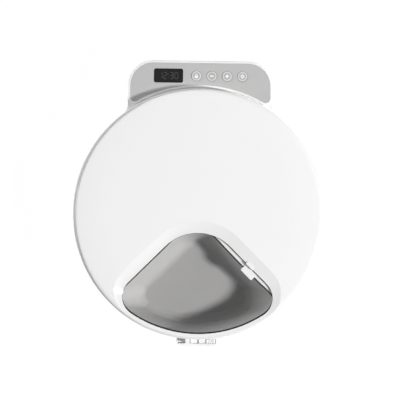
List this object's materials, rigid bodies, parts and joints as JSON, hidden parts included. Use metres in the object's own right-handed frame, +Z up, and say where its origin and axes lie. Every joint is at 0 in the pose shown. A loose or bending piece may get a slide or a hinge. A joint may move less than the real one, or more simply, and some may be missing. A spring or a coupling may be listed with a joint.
{
  "type": "rotating-tray pet feeder",
  "caption": "Round battery pet feeder with wedge bowls on a turning tray, domed lid with one serving window, rear console and front slide lock.",
  "frame": {"origin": "on the table under the middle of the feeder's plan box", "axes": "+Z up, +Y towards the rear console, -Y towards the serving window, +X to the right"},
  "size_m": [0.31, 0.3524, 0.071],
  "materials": {
    "white_shell": "smooth white moulded plastic, semi-gloss",
    "white_inner": "satin white moulded plastic",
    "white_plate": "fine-grained white plastic",
    "bowl_grey": "smooth grey food-safe plastic",
    "panel_grey": "matt grey plastic",
    "button_grey": "matt grey caps with light symbols",
    "display_black": "glossy black window",
    "module_black": "black housing",
    "gasket_silicone": "soft grey silicone",
    "foot_rubber": "matt black rubber",
    "screw_steel": "zinc-plated steel",
    "pin_steel": "ground steel",
    "magnet_nickel": "nickel-plated magnet",
    "gear_acetal": "natural acetal",
    "bush_acetal": "black acetal bearing bush",
    "motor_black": "black gearbox housing",
    "bay_black": "black battery box",
    "cell_sleeve": "plain dark sleeve on a metal can",
    "board_green": "green solder mask",
    "part_black": "black moulded component body"
  },
  "bodies": {
    "base": {"base_shell": "white_shell", "bottom_plate": "white_plate", "rubber_feet": "foot_rubber", "plate_screws": "screw_steel", "battery_box": "bay_black", "battery_cells": "cell_sleeve", "battery_contacts": "pin_steel", "gear_motor": "motor_black", "motor_screws": "screw_steel", "idler_pin": "pin_steel", "hub_bush": "bush_acetal", "index_board": "board_green", "main_board": "board_green", "board_screws": "screw_steel", "display_module": "module_black", "display_lens": "display_black", "console_panel": "panel_grey", "tact_switches": "part_black", "speaker": "part_black", "dc_jack": "part_black", "lid_gasket": "gasket_silicone"},
    "lid": {"lid_shell": "white_shell"},
    "lock": {"lock_slider": "white_inner"},
    "tray": {"tray_carrier": "white_inner", "drive_hub": "gear_acetal", "hub_gear": "gear_acetal", "hub_screw": "screw_steel", "index_magnets": "magnet_nickel", "bowl_1": "bowl_grey", "bowl_2": "bowl_grey", "bowl_3": "bowl_grey", "bowl_4": "bowl_grey", "bowl_clip_1": "white_inner", "bowl_clip_2": "white_inner", "bowl_clip_3": "white_inner", "bowl_clip_4": "white_inner"},
    "idler": {"idler_gear": "gear_acetal"},
    "pinion": {"drive_pinion": "gear_acetal", "output_shaft": "pin_steel"},
    "door": {"battery_door": "white_plate"},
    "button_lock": {"button_lock": "button_grey"},
    "button_minus": {"button_minus": "button_grey"},
    "button_plus": {"button_plus": "button_grey"},
    "button_set": {"button_set": "button_grey"}
  },
  "joints": [
    {"name": "tray_spin", "type": "hinge", "parent": "base", "child": "tray", "pos_m": [0, -0.0132, 0.025], "axis": [0, 0, 1], "continuous": true},
    {"name": "idler_spin", "type": "hinge", "parent": "base", "child": "idler", "pos_m": [-0.0336, -0.0132, 0.008], "axis": [0, 0, 1], "continuous": true},
    {"name": "pinion_spin", "type": "hinge", "parent": "base", "child": "pinion", "pos_m": [-0.0504, -0.0132, 0.008], "axis": [0, 0, 1], "continuous": true},
    {"name": "lid_lift", "type": "slide", "parent": "base", "child": "lid", "axis": [0, 0, 1], "range_m": [0, 0.09]},
    {"name": "lock_slide", "type": "slide", "parent": "base", "child": "lock", "axis": [-1, 0, 0], "range_m": [0, 0.0105]},
    {"name": "door_swing", "type": "hinge", "parent": "base", "child": "door", "pos_m": [0, 0.09515, 0.0025], "axis": [1, 0, 0], "range_deg": [0, 95]},
    {"name": "button_lock_press", "type": "slide", "parent": "base", "child": "button_lock", "axis": [0, 0, -1], "range_m": [0, 0.0006], "stiffness_N_per_m": 600},
    {"name": "button_minus_press", "type": "slide", "parent": "base", "child": "button_minus", "axis": [0, 0, -1], "range_m": [0, 0.0006], "stiffness_N_per_m": 600},
    {"name": "button_plus_press", "type": "slide", "parent": "base", "child": "button_plus", "axis": [0, 0, -1], "range_m": [0, 0.0006], "stiffness_N_per_m": 600},
    {"name": "button_set_press", "type": "slide", "parent": "base", "child": "button_set", "axis": [0, 0, -1], "range_m": [0, 0.0006], "stiffness_N_per_m": 600}
  ],
  "couplings": [
    {"joint": "idler_spin", "follows": "tray_spin", "ratio": -2},
    {"joint": "pinion_spin", "follows": "tray_spin", "ratio": 4}
  ]
}
